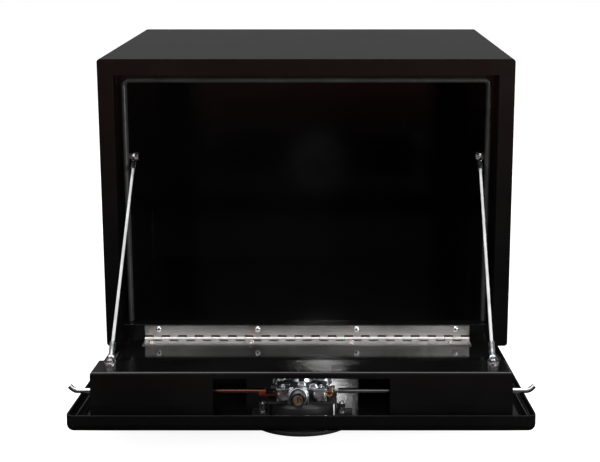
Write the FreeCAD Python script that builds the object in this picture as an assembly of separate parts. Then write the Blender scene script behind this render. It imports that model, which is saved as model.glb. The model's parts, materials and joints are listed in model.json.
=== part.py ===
"""Underbody truck tool box with a drop-down door, held open by two stay cables.

The origin is the middle of the cabinet's underside. X runs left to right as the open
front is faced, the front looks towards -Y, and Z is up. Millimetres.

Door pieces are drawn on the closed door, where u is the height above the hinge axis and
v the depth behind the front plane, and are then swung open about the hinge.
"""
import FreeCAD, Part
import math
import os

Vec = FreeCAD.Vector
os.makedirs("parts", exist_ok=True)

# Cabinet
width = 610.0
height = 440.0
depth = 450.0
sheet = 2.0
bend_radius = 5.0
stile_width = 23.0
header_height = 24.0
flange_width = 15.0
return_depth = 20.0
sill_height = 31.0
sill_shelf = 18.0
back_flange = 16.0
back_play = 0.1

# Door tray
side_gap = 5.0
top_gap = 6.0
foot_gap = 6.0
door_sheet = 2.0
door_flange = 20.3
door_bend = 9.0
sill_clearance = 2.4
door_open_angle = 83.9

# Continuous hinge
hinge_height = 9.2
knuckle_radius = 3.2
hinge_pin_radius = 1.6
hinge_pin_play = 0.05
leaf = 1.5
hinge_length = 495.3
knuckle_pitch = 25.4
knuckle_gap = 0.5
knuckle_play = 0.25
door_leaf_width = 26.0
leaf_sill_gap = 1.3
hinge_bolt_inset = 21.15
hinge_bolts = 4
cabinet_bolt_inset = 5.5
hinge_bolt_shift = 9.0
hinge_bolt_radius = 2.4
hinge_head_radius = 4.0
hinge_head_height = 2.4
hinge_nut_across = 7.0
hinge_nut_height = 3.0

# Seal
seal_radius = 3.6
seal_bore = 2.2
seal_corner = 9.0
seal_clearance = 0.5
clip_wall = 1.5
clip_reach = 8.0
seal_root = 1.0
seal_foot = 1.0

# Latch channel on the inside of the door
channel_side_gap = 15.0
channel_drop = 10.0
channel_rise = 43.0
channel_depth = 66.0
channel_sheet = 1.6
window_width = 211.0
window_low = 9.0
window_high = 58.0
notch_side_gap = 8.0
notch_play = 3.0
cup_play = 0.6

# Latch: dish, cast housing, spindle, cam, handle, lock and rods
latch_drop = 64.8
dish_flange_land = 11.0
dish_radius = 38.0
dish_floor = 24.0
dish_sheet = 1.5
dish_lip = 4.0
bracket_sheet = 2.5
bracket_gap = 2.0
bracket_leg_half = 11.0
bracket_foot = 13.0
bracket_half_height = 33.0
stud_gap = 5.5
stud_radius = 2.5
stud_proud = 1.9
stud_nut_across = 9.0
stud_nut_height = 4.5
stud_washer = 1.2
stud_washer_radius = 5.4
stud_nut_gap = 0.4
spindle_radius = 8.0
spindle_play = 0.08
cam_hub_radius = 12.0
cam_pin_land = 3.0
cam_thickness = 3.0
cam_pin_offset = 20.0
cam_pin_radius = 2.5
cam_pin_proud = 0.4
yoke_slack = 1.5
yoke_end_slack = 0.6
yoke_edge = 3.4
yoke_tail = 8.0
yoke_arm = 14.0
yoke_arm_inset = 10.0
yoke_arm_half = 5.0
yoke_sheet = 2.4
layer_gap = 0.9
latch_turn = 60.0
rod_radius = 3.2
rod_rise = 18.0
rod_lift = 5.6
rod_start_gap = 14.0
rod_clearance = 0.3
rod_stop_play = 0.7
rod_bend_radius = 9.0
rod_bend_angle = 42.0
rod_guide_play = 0.1
guide_wall = 2.0
guide_collar = 2.0
guide_rim = 4.5
lock_radius = 8.5
lock_bore = 6.0
lock_play = 0.1
lock_reach = 16.0
lock_shift = -4.0
lock_seat_gap = 0.5
lock_collar = 1.5
lock_collar_height = 3.0
key_slot = 1.6
key_slot_half = 3.6
key_slot_depth = 8.0
housing_half = 30.0
housing_sheet = 4.0
housing_leg = 4.5
housing_leg_width = 12.0
housing_inset = 0.5
housing_play = 0.8
housing_draft = 3.5
housing_plate = 3.0
housing_boss_radius = 17.0
housing_lobe_radius = 12.0
housing_boss_rise = 9.0
housing_lobe_rise = 5.4
housing_lobe_inset = 4.0
housing_lip = 0.3
lock_plate_land = 5.0
strike_half = 12.0
handle_bar_radius = 5.5
handle_bar_half = 14.0
handle_stem = 20.0
handle_stem_half = 3.6
handle_fork_slot = 4.0
handle_pin_radius = 2.0
handle_pin_depth = 11.0
handle_pin_play = 0.05
handle_eye_radius = 5.0
handle_eye_play = 0.2

# Stay cables
cable_radius = 2.0
upper_eye_drop = 130.0
upper_eye_inset = 12.0
upper_eye_offset = 5.3
lower_stud_inset = 22.0
lower_stud_drop = 15.0
eye_radius = 7.5
eye_bore = 3.1
eye_sheet = 3.0
ferrule_radius = 3.6
ferrule_start = 11.0
ferrule_length = 24.0
eye_play = 0.3
stay_nut_height = 3.5
stay_bolt_radius = 3.0
stay_head_across = 11.0
stay_head_height = 4.5

# Worked out from the sizes above
front = -depth / 2
opening_half = width / 2 - stile_width
opening_top = height - header_height
seal_room = 2 * seal_radius + clip_wall + seal_clearance
flange_front = front + door_flange + seal_room
inner_half = opening_half - flange_width
inner_top = opening_top - flange_width
hinge_v = door_sheet + knuckle_radius
hinge_y = front + hinge_v
door_half = opening_half - side_gap
door_top = opening_top - top_gap - hinge_height
door_foot = foot_gap - hinge_height
latch_height = door_top - latch_drop
upper_eye_height = opening_top - upper_eye_drop
sill_front = hinge_y + knuckle_radius
cam_floor = dish_floor + bracket_sheet + layer_gap
cam_top = cam_floor + cam_thickness
left_yoke_v = cam_top + layer_gap
right_yoke_v = left_yoke_v + yoke_sheet + layer_gap
rod_depth = cam_top + rod_lift
rod_height = latch_height + rod_rise
rod_start = housing_half + rod_start_gap
rod_travel = cam_pin_offset * math.sin(math.radians(latch_turn))
rod_end = inner_half + rod_travel - rod_clearance
lock_depth = dish_floor + lock_radius + lock_collar + lock_seat_gap
bracket_half = dish_radius + bracket_gap
stud_offset = bracket_half + bracket_sheet + stud_gap
dish_flange_radius = stud_offset + dish_flange_land
stud_seat = door_sheet + bracket_sheet
stud_length = stud_seat + stud_washer + 2 * stud_nut_height + stud_nut_gap + stud_proud
housing_under = rod_depth + rod_radius + housing_play
housing_top = housing_under + housing_sheet
channel_half = inner_half - channel_side_gap
channel_low = latch_height - channel_drop
channel_high = latch_height + channel_rise
notch_half = stud_offset + bracket_foot + notch_side_gap
notch_depth = housing_top + housing_boss_rise + notch_play
lower_stud_half = channel_half - lower_stud_inset
lower_stud_height = channel_high - lower_stud_drop
cabinet_leaf_width = sill_height - hinge_height - leaf_sill_gap
cabinet_bolt_height = cabinet_leaf_width - cabinet_bolt_inset
door_bolt_height = door_leaf_width / 2
hinge_bolt_spacing = (hinge_length - 2 * hinge_bolt_inset) / (hinge_bolts - 1)
latch_centre = Vec(0, front, hinge_height + latch_height)
housing_edge = latch_height + bracket_half_height + housing_lip
upper_eye_y = flange_front + sheet + upper_eye_inset
upper_eye_x = inner_half - upper_eye_offset
lower_eye_v = channel_depth + stay_head_height + eye_sheet / 2 + eye_play


def box(x0, x1, y0, y1, z0, z1):
    """A block between two corners."""
    return Part.makeBox(x1 - x0, y1 - y0, z1 - z0, Vec(x0, y0, z0))


def door_box(x0, x1, u0, u1, v0, v1):
    """A block on the closed door, between heights u and depths v."""
    return box(x0, x1, front + v0, front + v1, hinge_height + u0, hinge_height + u1)


def door_point(x, u, v):
    return Vec(x, front + v, hinge_height + u)


def rod_between(a, b, radius):
    """A round bar from a to b."""
    return Part.makeCylinder(radius, a.distanceToPoint(b), a, b - a)


def hexagon(centre, direction, across, length):
    """A hexagonal prism that starts at centre and runs along direction."""
    corner = across / math.sqrt(3)
    points = []
    for k in range(6):
        turn = math.radians(60 * k)
        points.append(Vec(corner * math.cos(turn), corner * math.sin(turn), 0))
    face = Part.Face(Part.makePolygon(points + points[:1]))
    prism = face.extrude(Vec(0, 0, length))
    prism.Placement = FreeCAD.Placement(centre, FreeCAD.Rotation(Vec(0, 0, 1), direction))
    return prism


def fuse(shapes):
    joined = shapes[0].multiFuse(shapes[1:]) if len(shapes) > 1 else shapes[0]
    return joined.removeSplitter()


def swing_open(shape):
    """The closed door's piece, turned to where the cables hold the door open."""
    turned = shape.copy()
    turned.rotate(Vec(0, hinge_y, hinge_height), Vec(1, 0, 0), door_open_angle)
    return turned


def export(name, shape):
    """One node's STEP file, with each separate solid in it."""
    solids = shape.Solids
    out = solids[0] if len(solids) == 1 else Part.makeCompound(solids)
    out.exportStep("parts/" + name + ".step")
    print(name, len(solids), "solids", round(out.Volume), "mm3", out.isValid())


def export_door(name, shape):
    export(name, swing_open(shape))


def rounded_tube(half, low, high, y0, y1, radius, wall):
    """A bent sheet wrapped round a rectangle, open at both ends."""
    outer = box(-half, half, y0, y1, low, high)
    long_edges = [e for e in outer.Edges if abs(e.tangentAt(e.FirstParameter).y) > 0.99]
    outer = outer.makeFillet(radius, long_edges)
    inner = box(-half + wall, half - wall, y0 - 1, y1 + 1, low + wall, high - wall)
    long_edges = [e for e in inner.Edges if abs(e.tangentAt(e.FirstParameter).y) > 0.99]
    inner = inner.makeFillet(max(radius - wall, 0.5), long_edges)
    return outer.cut(inner)


def cabinet_wrap():
    """Sides, top and bottom in one bent sheet, folded in at the front as stiles and header."""
    half = width / 2
    wrap = rounded_tube(half, 0, height, front, depth / 2, bend_radius, sheet)
    face = box(-half, half, front, front + sheet, 0, height)
    corners = [e for e in face.Edges if abs(e.tangentAt(e.FirstParameter).y) > 0.99]
    face = face.makeFillet(bend_radius, corners)
    opening = box(-opening_half, opening_half, front - 1, front + sheet + 1, sheet, opening_top)
    return fuse([wrap, face.cut(opening)])


def back_panel():
    """A pan welded inside the wrap, its flanges turned forwards."""
    half = width / 2 - sheet
    rear = depth / 2
    radius = bend_radius - sheet + back_play
    low = sheet
    high = height - sheet
    flanges = rounded_tube(half, low, high, rear - back_flange, rear, radius, sheet)
    plate = box(-half, half, rear - sheet, rear, low, high)
    corners = [e for e in plate.Edges if abs(e.tangentAt(e.FirstParameter).y) > 0.99]
    return fuse([flanges, plate.makeFillet(radius, corners)])


def front_frame():
    """The door's rebate: a return, the flange that the seal grips and a second return."""
    low = sheet
    step = front + sheet
    back = flange_front + sheet
    outer = box(-opening_half - sheet, opening_half + sheet, step, back, low, opening_top + sheet)
    recess = box(-opening_half, opening_half, step - 1, flange_front, low - 1, opening_top)
    hole = box(-inner_half, inner_half, step - 1, back + 1, low - 1, inner_top)
    rebate = outer.cut(recess).cut(hole)
    tail = back + return_depth
    sleeve = box(-inner_half - sheet, inner_half + sheet, flange_front, tail, low, inner_top + sheet)
    sleeve = sleeve.cut(box(-inner_half, inner_half, step, tail + 1, low - 1, inner_top))
    frame = fuse([rebate, sleeve])
    rod_z = hinge_height + rod_height
    strike = box(-width, width, back, tail + 1, rod_z - strike_half, rod_z + strike_half)
    frame = frame.cut(strike)
    start = Vec(-width / 2, upper_eye_y, upper_eye_height)
    return frame.cut(Part.makeCylinder(stay_bolt_radius, width, start, Vec(1, 0, 0)))


def sill():
    """The folded rail under the opening, which carries the hinge."""
    shelf_back = sill_front + sheet + sill_shelf
    half = opening_half
    wall = box(-half, half, sill_front, sill_front + sheet, sheet, sill_height)
    shelf = box(-half, half, sill_front, shelf_back, sill_height - sheet, sill_height)
    drop = box(-inner_half, inner_half, shelf_back - sheet, shelf_back, sheet, sill_height)
    narrow = []
    if shelf_back > flange_front:
        for side in (-1, 1):
            x0, x1 = sorted((side * inner_half, side * (half + 1)))
            narrow.append(box(x0, x1, flange_front, shelf_back + 1, 0, sill_height + 1))
    rail = fuse([wall, shelf, drop])
    for piece in narrow:
        rail = rail.cut(piece)
    for x in bolt_places(0):
        start = Vec(x, sill_front - 1, hinge_height + cabinet_bolt_height)
        rail = rail.cut(Part.makeCylinder(hinge_bolt_radius, sheet + 2, start, Vec(0, 1, 0)))
    return rail


def door_seal():
    """A hollow bulb on a clip, up both sides of the opening and across its top."""
    x = inner_half + clip_reach - seal_radius
    top = inner_top + clip_reach - seal_radius
    foot = sill_height + seal_foot
    y = flange_front - clip_wall - seal_radius
    middle = seal_corner * (1 - math.sqrt(0.5))
    left = Part.makeLine(Vec(-x, y, foot), Vec(-x, y, top - seal_corner))
    arc_left = Part.Arc(
        Vec(-x, y, top - seal_corner),
        Vec(-x + middle, y, top - middle),
        Vec(-x + seal_corner, y, top),
    ).toShape()
    across = Part.makeLine(Vec(-x + seal_corner, y, top), Vec(x - seal_corner, y, top))
    arc_right = Part.Arc(
        Vec(x - seal_corner, y, top),
        Vec(x - middle, y, top - middle),
        Vec(x, y, top - seal_corner),
    ).toShape()
    right = Part.makeLine(Vec(x, y, top - seal_corner), Vec(x, y, foot))
    path = Part.Wire([left, arc_left, across, arc_right, right])

    def swept(profile):
        return path.makePipeShell([Part.Wire(profile)], True, False)

    start = Vec(-x, y, foot)
    bulb = swept([Part.makeCircle(seal_radius, start, Vec(0, 0, 1))])
    bore = swept([Part.makeCircle(seal_bore, start, Vec(0, 0, 1))])
    reach = clip_reach / 2
    pad_front = y + seal_radius - seal_root
    pad_back = flange_front
    corners = [
        Vec(-x - reach, pad_front, foot),
        Vec(-x + reach, pad_front, foot),
        Vec(-x + reach, pad_back, foot),
        Vec(-x - reach, pad_back, foot),
    ]
    pad = swept(Part.makePolygon(corners + corners[:1]).Edges)
    return fuse([bulb, pad]).cut(bore)


def knuckle_spans(odd):
    """The X spans of one leaf's knuckles, which alternate along the pin."""
    half_pitch = knuckle_pitch / 2
    count = int(hinge_length / half_pitch + 0.001)
    start = -count * half_pitch / 2
    spans = []
    for k in range(count):
        if k % 2 == odd:
            low = start + k * half_pitch + knuckle_gap / 2
            spans.append((low, low + half_pitch - knuckle_gap))
    return spans


def hinge_leaf_shape(odd, plate):
    """A leaf with its rolled knuckles, drawn on the closed door."""
    pieces = [plate]
    for low, high in knuckle_spans(odd):
        centre = Vec(low, hinge_y, hinge_height)
        barrel = Part.makeCylinder(knuckle_radius, high - low, centre, Vec(1, 0, 0))
        pieces.append(barrel)
    leaf_shape = pieces[0].multiFuse(pieces[1:])
    radius = hinge_pin_radius + hinge_pin_play
    far_left = Vec(-hinge_length, hinge_y, hinge_height)
    bore = Part.makeCylinder(radius, 2 * hinge_length, far_left, Vec(1, 0, 0))
    leaf_shape = leaf_shape.cut(bore)
    clearance = knuckle_radius + knuckle_play
    for low, high in knuckle_spans(1 - odd):
        start = low - knuckle_gap
        length = high - low + 2 * knuckle_gap
        room = Part.makeCylinder(clearance, length, Vec(start, hinge_y, hinge_height), Vec(1, 0, 0))
        leaf_shape = leaf_shape.cut(room)
    return leaf_shape.removeSplitter()


def cabinet_leaf():
    half = hinge_length / 2
    back = hinge_y + knuckle_radius
    plate = box(-half, half, back - leaf, back, hinge_height, hinge_height + cabinet_leaf_width)
    shape = hinge_leaf_shape(0, plate)
    for x in bolt_places(0):
        start = Vec(x, back - leaf - 1, hinge_height + cabinet_bolt_height)
        shape = shape.cut(Part.makeCylinder(hinge_bolt_radius, leaf + 2, start, Vec(0, 1, 0)))
    return shape


def door_leaf():
    half = hinge_length / 2
    plate = door_box(-half, half, 0, door_leaf_width, door_sheet, door_sheet + leaf)
    shape = hinge_leaf_shape(1, plate)
    for x in bolt_places(-hinge_bolt_shift):
        start = door_point(x, door_bolt_height, door_sheet - 1)
        shape = shape.cut(Part.makeCylinder(hinge_bolt_radius, leaf + 2, start, Vec(0, 1, 0)))
    return shape


def bolt_places(shift):
    first = -(hinge_bolts - 1) / 2 * hinge_bolt_spacing
    return [first + k * hinge_bolt_spacing + shift for k in range(hinge_bolts)]


def domed_head(centre, direction, radius, rise):
    """A pan head: a disc whose far rim is rounded."""
    disc = Part.makeCylinder(radius, rise, centre, direction)
    far = centre + Vec(direction).normalize() * rise
    rims = [e for e in disc.Edges if e.Closed and e.CenterOfMass.distanceToPoint(far) < 0.01]
    return disc.makeFillet(rise * 0.6, rims)


def cabinet_hinge_bolts():
    """Rivets through the cabinet leaf and the sill."""
    pieces = []
    face = hinge_y + knuckle_radius - leaf
    for x in bolt_places(0):
        z = hinge_height + cabinet_bolt_height
        head = domed_head(Vec(x, face, z), Vec(0, -1, 0), hinge_head_radius, hinge_head_height)
        length = leaf + sheet
        shank = Part.makeCylinder(hinge_bolt_radius, length, Vec(x, face, z), Vec(0, 1, 0))
        tail = Vec(x, face + length, z)
        upset = domed_head(tail, Vec(0, 1, 0), hinge_head_radius, hinge_head_height)
        pieces.append(fuse([head, shank, upset]))
    return Part.makeCompound(pieces)


def door_hinge_bolts():
    """Bolts through the skin and the door leaf, with their nuts inside."""
    pieces = []
    for x in bolt_places(-hinge_bolt_shift):
        outside = door_point(x, door_bolt_height, 0)
        head = domed_head(outside, Vec(0, -1, 0), hinge_head_radius, hinge_head_height)
        grip = door_sheet + leaf
        shank = Part.makeCylinder(hinge_bolt_radius, grip + hinge_nut_height, outside, Vec(0, 1, 0))
        seat = door_point(x, door_bolt_height, grip)
        nut = hexagon(seat, Vec(0, 1, 0), hinge_nut_across, hinge_nut_height)
        pieces.append(fuse([head, shank, nut]))
    return Part.makeCompound(pieces)


def hinge_pin():
    half = hinge_length / 2
    start = Vec(-half, hinge_y, hinge_height)
    return Part.makeCylinder(hinge_pin_radius, hinge_length, start, Vec(1, 0, 0))


def tray(half, foot, top, shallow, deep, radius):
    """A block on the closed door, its outer face rounded into three sides."""
    block = door_box(-half, half, foot, top, shallow, deep)
    picked = []
    for edge in block.Edges:
        c = edge.CenterOfMass
        on_face = abs(c.y - (front + shallow)) < 0.01
        at_top = abs(c.z - (hinge_height + top)) < 0.01
        at_side = abs(abs(c.x) - half) < 0.01
        if (on_face and (at_top or at_side)) or (at_top and at_side):
            picked.append(edge)
    return block.makeFillet(radius, picked)


def door_skin():
    """A folded tray: a flat face with flanges at the top and both sides."""
    outer = tray(door_half, door_foot, door_top, 0, door_flange, door_bend)
    wall = door_sheet
    inner = tray(
        door_half - wall, door_foot - 5, door_top - wall, wall, door_flange + 5, door_bend - wall
    )
    skin = outer.cut(inner)
    relief_top = sill_height - hinge_height + sill_clearance
    relief = door_box(
        -width, width, door_foot - 5, relief_top, door_sheet, door_flange + 5
    )
    skin = skin.cut(relief)
    hole = Part.makeCylinder(dish_radius + 0.5, 10, latch_centre + Vec(0, -2, 0), Vec(0, 1, 0))
    skin = skin.cut(hole)
    for x in bolt_places(-hinge_bolt_shift):
        start = door_point(x, door_bolt_height, -1)
        skin = skin.cut(Part.makeCylinder(hinge_bolt_radius, 4, start, Vec(0, 1, 0)))
    for x in (-stud_offset, stud_offset):
        start = door_point(x, latch_height, -1)
        skin = skin.cut(Part.makeCylinder(stud_radius, 4, start, Vec(0, 1, 0)))
    return skin


def latch_channel():
    """A folded cover welded across the inside of the door, over the latch and its rods."""
    half = channel_half
    wall = channel_sheet
    base = door_sheet
    outer = door_box(-half, half, channel_low, channel_high, base, channel_depth)
    crown = [e for e in outer.Edges if abs(e.CenterOfMass.y - front - channel_depth) < 0.01]
    outer = outer.makeFillet(2 * wall, crown)
    inner = door_box(
        -half + wall, half - wall, channel_low + wall, channel_high - wall, base - 1, channel_depth - wall
    )
    shape = outer.cut(inner)
    window = window_width / 2
    shape = shape.cut(
        door_box(-window, window, channel_high - 5, channel_high + 5, window_low, window_high)
    )
    cup = Part.makeCylinder(dish_radius + cup_play, dish_floor, latch_centre, Vec(0, 1, 0))
    shape = shape.cut(cup)
    notch = notch_half
    shape = shape.cut(
        door_box(-notch, notch, channel_low - 5, channel_low + 5, base - 1, notch_depth)
    )
    for side in (-1, 1):
        start = door_point(side * (half - 5), rod_height, rod_depth)
        guide_hole = rod_radius + rod_guide_play + guide_wall
        shape = shape.cut(Part.makeCylinder(guide_hole, 10, start, Vec(side, 0, 0)))
        start = door_point(side * lower_stud_half, lower_stud_height, channel_depth - 5)
        shape = shape.cut(Part.makeCylinder(stay_bolt_radius, 10, start, Vec(0, 1, 0)))
    return shape


def rod_guides():
    """A flanged bush in each end of the channel."""
    pieces = []
    half = channel_half
    bore = rod_radius + rod_guide_play
    collar = guide_collar
    for side in (-1, 1):
        direction = Vec(side, 0, 0)
        inner_face = door_point(side * (half - channel_sheet - collar), rod_height, rod_depth)
        sleeve = Part.makeCylinder(bore + guide_wall, 2 * collar + channel_sheet, inner_face, direction)
        inside = Part.makeCylinder(bore + guide_rim, collar, inner_face, direction)
        outer_face = door_point(side * half, rod_height, rod_depth)
        outside = Part.makeCylinder(bore + guide_rim, collar, outer_face, direction)
        hole = Part.makeCylinder(bore, 30, inner_face - direction * 10, direction)
        pieces.append(fuse([sleeve, inside, outside]).cut(hole))
    return Part.makeCompound(pieces)


def latch_dish():
    """A pressed round pan, its flange outside the skin and its cup sunk in the door."""
    t = dish_sheet
    rim = dish_flange_radius
    profile = [
        Vec(0, dish_floor, 0),
        Vec(dish_radius - 4, dish_floor, 0),
        Vec(dish_radius, dish_floor - 5, 0),
        Vec(dish_radius, 0, 0),
        Vec(rim, 0, 0),
        Vec(rim, -t, 0),
        Vec(rim - 2, -dish_lip, 0),
        Vec(dish_radius + 2, -dish_lip, 0),
        Vec(dish_radius - t, -t, 0),
        Vec(dish_radius - t, dish_floor - 5.6, 0),
        Vec(dish_radius - 4.6, dish_floor - t, 0),
        Vec(0, dish_floor - t, 0),
    ]
    face = Part.Face(Part.makePolygon(profile + profile[:1]))
    dish = face.revolve(Vec(0, 0, 0), Vec(0, 1, 0), 360)
    dish.translate(latch_centre)
    hole = spindle_radius + spindle_play
    return dish.cut(Part.makeCylinder(hole, 60, latch_centre + Vec(0, -5, 0), Vec(0, 1, 0)))


def latch_bracket():
    """A top-hat strap that ties the dish to the skin and carries the mechanism."""
    low = latch_height - bracket_half_height
    high = latch_height + bracket_half_height
    t = bracket_sheet
    half = bracket_half
    narrow = bracket_leg_half
    crown = door_box(-half, half, low, high, dish_floor, dish_floor + t)
    pieces = [crown]
    for side in (-1, 1):
        x0, x1 = sorted((side * half, side * (half + t)))
        pieces.append(
            door_box(x0, x1, latch_height - narrow, latch_height + narrow, door_sheet, dish_floor + t)
        )
        x0, x1 = sorted((side * half, side * (stud_offset + bracket_foot)))
        pieces.append(
            door_box(x0, x1, latch_height - narrow, latch_height + narrow, door_sheet, door_sheet + t)
        )
    strap = fuse(pieces)
    hole = spindle_radius + spindle_play
    strap = strap.cut(Part.makeCylinder(hole, 60, latch_centre, Vec(0, 1, 0)))
    for side in (-1, 1):
        start = door_point(side * stud_offset, latch_height, 0)
        strap = strap.cut(Part.makeCylinder(stud_radius, 10, start, Vec(0, 1, 0)))
    return strap


def latch_studs():
    """The dish's two studs, each with a washer and a pair of nuts over the bracket's foot."""
    pieces = []
    seat = stud_seat
    for side in (-1, 1):
        foot = door_point(side * stud_offset, latch_height, 0)
        shank = Part.makeCylinder(stud_radius, stud_length, foot, Vec(0, 1, 0))
        ring_at = foot + Vec(0, seat, 0)
        ring = Part.makeCylinder(stud_washer_radius, stud_washer, ring_at, Vec(0, 1, 0))
        stack = [shank, ring]
        for k in range(2):
            nut_at = ring_at + Vec(0, stud_washer + k * (stud_nut_height + stud_nut_gap), 0)
            stack.append(hexagon(nut_at, Vec(0, 1, 0), stud_nut_across, stud_nut_height))
        pieces.append(fuse(stack))
    return Part.makeCompound(pieces)


def latch_housing():
    """The cast bridge over the cam: a plate on four legs, with bosses and a lock plate."""
    low = latch_height - bracket_half_height + housing_inset
    high = latch_height + bracket_half_height - housing_inset
    leg_foot = dish_floor + bracket_sheet
    under = housing_under
    top = housing_top
    plate_high = housing_edge + housing_plate
    half = housing_half
    pieces = [door_box(-half, half, low, plate_high, under, top)]
    for side in (-1, 1):
        x0, x1 = sorted((side * (half - housing_leg_width), side * half))
        pieces.append(door_box(x0, x1, low, low + housing_leg, leg_foot, top))
        pieces.append(door_box(x0, x1, high - housing_leg, high, leg_foot, top))
        lobe = door_point(side * (half - housing_lobe_inset), latch_height, under)
        rise = housing_sheet + housing_lobe_rise
        crown = housing_lobe_radius - housing_draft
        pieces.append(Part.makeCone(housing_lobe_radius, crown, rise, lobe, Vec(0, 1, 0)))
    boss = door_point(0, latch_height, under)
    rise = housing_sheet + housing_boss_rise
    crown = housing_boss_radius - housing_draft
    pieces.append(Part.makeCone(housing_boss_radius, crown, rise, boss, Vec(0, 1, 0)))
    wide = lock_radius + lock_plate_land
    pieces.append(
        door_box(
            lock_shift - wide,
            lock_shift + wide,
            housing_edge,
            plate_high,
            dish_floor + eye_play,
            top,
        )
    )
    return fuse(pieces)


def lock_barrel():
    """The lock's shell, closed behind, on the housing's lock plate."""
    seat = housing_edge + housing_plate
    start = door_point(lock_shift, seat, lock_depth)
    shell = Part.makeCylinder(lock_radius, lock_reach, start, Vec(0, 0, 1))
    collar = Part.makeCylinder(lock_radius + lock_collar, lock_collar_height, start, Vec(0, 0, 1))
    bore_at = start + Vec(0, 0, lock_collar_height)
    bore = Part.makeCylinder(lock_bore, lock_reach, bore_at, Vec(0, 0, 1))
    return fuse([shell, collar]).cut(bore)


def lock_plug():
    """The plug that the key turns, with its keyway."""
    seat = housing_edge + housing_plate
    start = door_point(lock_shift, seat + lock_collar_height + eye_play, lock_depth)
    length = lock_reach - lock_collar_height - eye_play
    plug = Part.makeCylinder(lock_bore - lock_play / 2, length, start, Vec(0, 0, 1))
    y = start.y
    z = start.z
    far = z + length
    half = key_slot / 2
    slot = box(
        lock_shift - half,
        lock_shift + half,
        y - key_slot_half,
        y + key_slot_half,
        far - key_slot_depth,
        far + 1,
    )
    return plug.cut(slot)


def spindle():
    """The shaft through the dish, forked at its outer end for the handle."""
    outer = handle_pin_depth - 6.0
    start = latch_centre + Vec(0, outer, 0)
    shaft = Part.makeCylinder(spindle_radius, cam_floor - outer, start, Vec(0, 1, 0))
    slot = door_box(
        -handle_fork_slot,
        handle_fork_slot,
        latch_height - 2 * spindle_radius,
        latch_height + 2 * spindle_radius,
        outer - 1,
        handle_pin_depth + 5.5,
    )
    pin_at = door_point(-2 * spindle_radius, latch_height, handle_pin_depth)
    hole = Part.makeCylinder(handle_pin_radius, 4 * spindle_radius, pin_at, Vec(1, 0, 0))
    return shaft.cut(slot).cut(hole)


def handle_pin():
    half = spindle_radius * 0.95
    start = door_point(-half, latch_height, handle_pin_depth)
    return Part.makeCylinder(handle_pin_radius, 2 * half, start, Vec(1, 0, 0))


def tee_handle():
    """The folding handle: an eye on the pin, a stem and a crossbar with rounded ends."""
    eye_half = handle_fork_slot - handle_eye_play
    eye_at = door_point(-eye_half, latch_height, handle_pin_depth)
    eye = Part.makeCylinder(handle_eye_radius, 2 * eye_half, eye_at, Vec(1, 0, 0))
    bar_height = latch_height - handle_stem
    half = handle_stem_half
    stem = door_box(
        -half, half, bar_height, latch_height, handle_pin_depth - half, handle_pin_depth + half
    )
    start = door_point(-handle_bar_half, bar_height, handle_pin_depth)
    bar = Part.makeCylinder(handle_bar_radius, 2 * handle_bar_half, start, Vec(1, 0, 0))
    rims = [e for e in bar.Edges if e.Closed]
    bar = bar.makeFillet(handle_bar_radius * 0.45, rims)
    hole_at = door_point(-2 * eye_half, latch_height, handle_pin_depth)
    bore = handle_pin_radius + handle_pin_play
    hole = Part.makeCylinder(bore, 4 * eye_half, hole_at, Vec(1, 0, 0))
    return fuse([eye, stem, bar]).cut(hole)


def cam():
    """The lever on the spindle, with a pin for each rod's yoke."""
    centre = latch_centre + Vec(0, cam_floor, 0)
    hub = Part.makeCylinder(cam_hub_radius, cam_thickness, centre, Vec(0, 1, 0))
    pieces = [hub]
    half = cam_pin_radius + cam_pin_land
    pieces.append(
        door_box(
            -half,
            half,
            latch_height - cam_pin_offset,
            latch_height + cam_pin_offset,
            cam_floor,
            cam_top,
        )
    )
    tops = {1: left_yoke_v + yoke_sheet, -1: right_yoke_v + yoke_sheet}
    for side, top in tops.items():
        at = centre + Vec(0, 0, side * cam_pin_offset)
        pieces.append(Part.makeCylinder(half, cam_thickness, at, Vec(0, 1, 0)))
        pin_length = top + cam_pin_proud - cam_floor
        pieces.append(Part.makeCylinder(cam_pin_radius, pin_length, at, Vec(0, 1, 0)))
    return fuse(pieces)


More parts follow.
